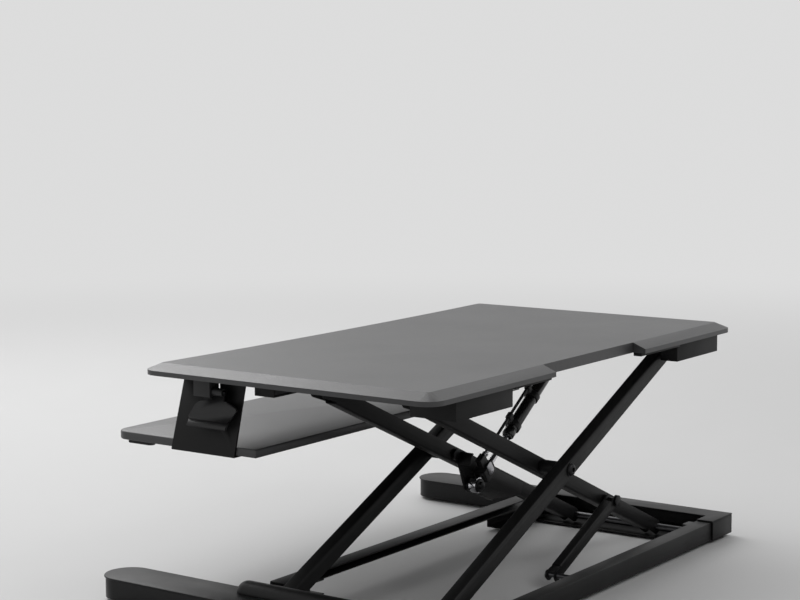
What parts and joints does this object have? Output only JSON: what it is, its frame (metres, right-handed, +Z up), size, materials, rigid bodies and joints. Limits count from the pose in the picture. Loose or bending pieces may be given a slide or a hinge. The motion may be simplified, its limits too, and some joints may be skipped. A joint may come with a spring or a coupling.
{
  "type": "standing desk converter",
  "caption": "Standing desk converter: bevelled worktop with clamp notch and keyboard tray on a scissor frame, raised by a gas spring and released by squeeze paddles.",
  "frame": {"origin": "on the desk surface, under the middle of the whole object with the tray out in front", "axes": "+X to the user's right, +Y to the back of the desk, +Z up"},
  "size_m": [0.902, 0.647, 0.365],
  "materials": {
    "frame_black": "fine-textured black powder coat",
    "foot_grey": "satin dark grey powder coat",
    "board_black": "matte black textured laminate on board",
    "rubber_black": "matte",
    "shaft_steel": "drawn steel, black oxide",
    "fastener_steel": "zinc plated",
    "nylon": "black nylon",
    "cylinder_black": "semi-gloss black paint",
    "rod_bright": "polished",
    "cable_black": "smooth sheath",
    "plastic_black": "moulded, fine grain"
  },
  "bodies": {
    "base": {"foot_right": "foot_grey", "foot_left": "foot_grey", "foot_cover_right": "foot_grey", "foot_cover_left": "foot_grey", "foot_pads": "rubber_black", "rear_crossbar": "frame_black", "front_crossbar": "frame_black", "front_channel_right": "frame_black", "front_channel_left": "frame_black", "side_plates": "frame_black", "base_hinge_blocks": "plastic_black", "hinge_hood": "foot_grey"},
    "outer_frame": {"rear_outer_arm": "frame_black", "front_outer_arm": "frame_black", "base_hinge_shaft": "shaft_steel", "upper_slide_shaft": "shaft_steel", "pivot_bolts": "fastener_steel", "pivot_spacers": "frame_black"},
    "inner_frame": {"rear_inner_arm": "frame_black", "front_inner_arm": "frame_black", "lower_slide_shaft": "shaft_steel", "top_hinge_shaft": "shaft_steel", "spring_bracket": "frame_black", "spring_pin": "fastener_steel", "strut_bolt": "fastener_steel"},
    "strut": {"strut_arm": "frame_black", "strut_pin": "shaft_steel"},
    "strut_glide": {"strut_glide": "nylon"},
    "lower_glides": {"lower_glides": "nylon"},
    "upper_glides": {"upper_glides": "nylon"},
    "gas_cylinder": {"gas_cylinder": "cylinder_black", "cable_clips": "plastic_black"},
    "gas_rod": {"gas_rod": "rod_bright", "release_head": "plastic_black", "spring_cable": "cable_black"},
    "top": {"worktop": "board_black", "hinge_box_rear": "frame_black", "hinge_box_front": "frame_black", "slide_box_rear": "frame_black", "slide_box_front": "frame_black", "top_hinge_blocks": "plastic_black", "rear_stiffeners": "frame_black", "tray_bracket_right": "frame_black", "tray_bracket_left": "frame_black", "keyboard_tray": "board_black", "tray_bumpers": "rubber_black", "paddle_mounts": "plastic_black", "paddle_pins": "fastener_steel", "cable_right": "cable_black", "cable_left": "cable_black", "cable_main": "cable_black", "cable_joiner": "plastic_black", "cable_stop": "plastic_black", "top_screws": "fastener_steel", "tray_screws": "fastener_steel"},
    "paddle_right": {"paddle_right": "plastic_black"},
    "paddle_left": {"paddle_left": "plastic_black"}
  },
  "joints": [
    {"name": "lift", "type": "hinge", "parent": "base", "child": "outer_frame", "pos_m": [0.3925, 0.0665, 0.0185], "axis": [0, 1, 0], "range_deg": [-17, 5]},
    {"name": "scissor", "type": "hinge", "parent": "outer_frame", "child": "inner_frame", "pos_m": [0.01501, 0.0665, 0.1885], "axis": [0, 1, 0], "range_deg": [-10.5, 34.5]},
    {"name": "top_hinge", "type": "hinge", "parent": "inner_frame", "child": "top", "pos_m": [0.33816, 0.0665, 0.33402], "axis": [0, 1, 0], "range_deg": [-17.5, 5.5]},
    {"name": "upper_glide", "type": "hinge", "parent": "outer_frame", "child": "upper_glides", "pos_m": [-0.30813, 0.0665, 0.33402], "axis": [0, 1, 0], "range_deg": [-5.5, 17.5]},
    {"name": "lower_glide", "type": "hinge", "parent": "inner_frame", "child": "lower_glides", "pos_m": [-0.36247, 0.0665, 0.0185], "axis": [0, 1, 0], "range_deg": [-17.5, 5.5]},
    {"name": "stay_swing", "type": "hinge", "parent": "inner_frame", "child": "strut", "pos_m": [-0.18011, 0.0665, 0.10063], "axis": [0, 1, 0], "range_deg": [-34.5, 10.5]},
    {"name": "stay_glide", "type": "hinge", "parent": "strut", "child": "strut_glide", "pos_m": [0.00225, 0.0665, 0.0185], "axis": [0, 1, 0], "range_deg": [-5.5, 17.5]},
    {"name": "spring_swing", "type": "hinge", "parent": "outer_frame", "child": "gas_cylinder", "pos_m": [-0.30813, 0.0665, 0.33402], "axis": [0, 1, 0], "range_deg": [-2.5, 1.5]},
    {"name": "spring_stroke", "type": "slide", "parent": "gas_cylinder", "child": "gas_rod", "axis": [0.8219, 0, -0.5697], "range_m": [-0.042, 0.014]},
    {"name": "paddle_right_squeeze", "type": "hinge", "parent": "top", "child": "paddle_right", "pos_m": [0.3788, 0.0665, 0.32202], "axis": [0, -1, 0], "range_deg": [0, 25], "stiffness_Nm_per_rad": 1.2, "springref_deg": -3.44},
    {"name": "paddle_left_squeeze", "type": "hinge", "parent": "top", "child": "paddle_left", "pos_m": [-0.3788, 0.0665, 0.32202], "axis": [0, 1, 0], "range_deg": [0, 25], "stiffness_Nm_per_rad": 1.2, "springref_deg": -3.44}
  ],
  "couplings": [
    {"joint": "scissor", "follows": "lift", "ratio": -2},
    {"joint": "top_hinge", "follows": "lift", "ratio": 1},
    {"joint": "upper_glide", "follows": "lift", "ratio": -1},
    {"joint": "lower_glide", "follows": "lift", "ratio": 1},
    {"joint": "stay_swing", "follows": "lift", "ratio": 2},
    {"joint": "stay_glide", "follows": "lift", "ratio": -1},
    {"joint": "spring_swing", "follows": "lift", "ratio": 0.075},
    {"joint": "spring_stroke", "follows": "lift", "m_per_rad": 0.1215}
  ]
}
